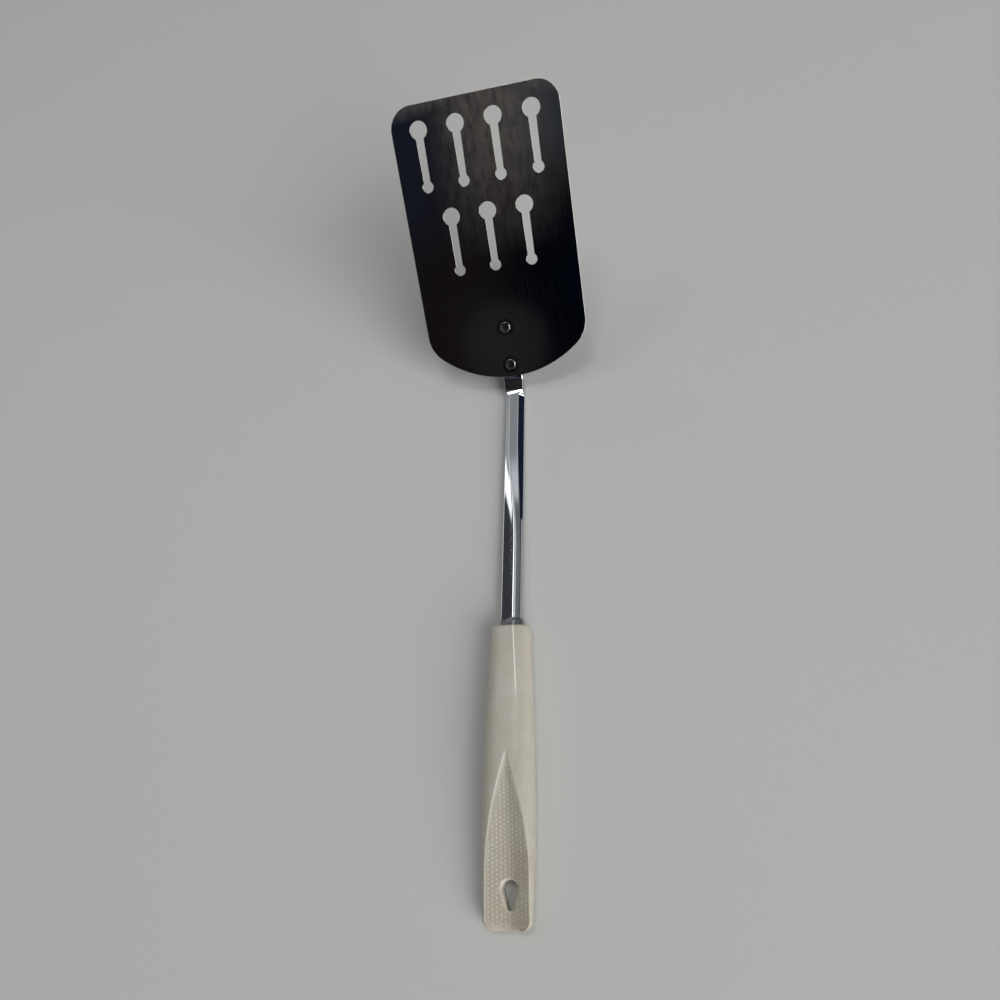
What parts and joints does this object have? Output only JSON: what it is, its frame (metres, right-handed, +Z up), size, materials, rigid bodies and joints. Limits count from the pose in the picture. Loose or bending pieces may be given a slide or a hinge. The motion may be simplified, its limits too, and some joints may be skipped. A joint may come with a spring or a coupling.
{
  "type": "slotted spatula",
  "caption": "Slotted kitchen turner: thin steel blade with keyhole slots, riveted to a bent plated shank in a moulded ivory handle with a grip recess and a hang hole.",
  "frame": {"origin": "on the table, under the middle of the whole turner's box", "axes": "+Z up from the table, +Y from the handle towards the blade's front edge, +X to the right"},
  "size_m": [0.076, 0.321, 0.0958],
  "materials": {
    "blade_steel": "polished sheet, fine lengthwise scratches",
    "rivet_steel": "plain, slightly worn",
    "plated_steel": "bright plating, worn along the ridge",
    "ivory_plastic": "moulded, semi-gloss, beaded in the recess"
  },
  "bodies": {
    "root": {"blade": "blade_steel", "front_rivet": "rivet_steel", "rear_rivet": "rivet_steel", "shank": "plated_steel", "handle": "ivory_plastic"}
  },
  "joints": []
}
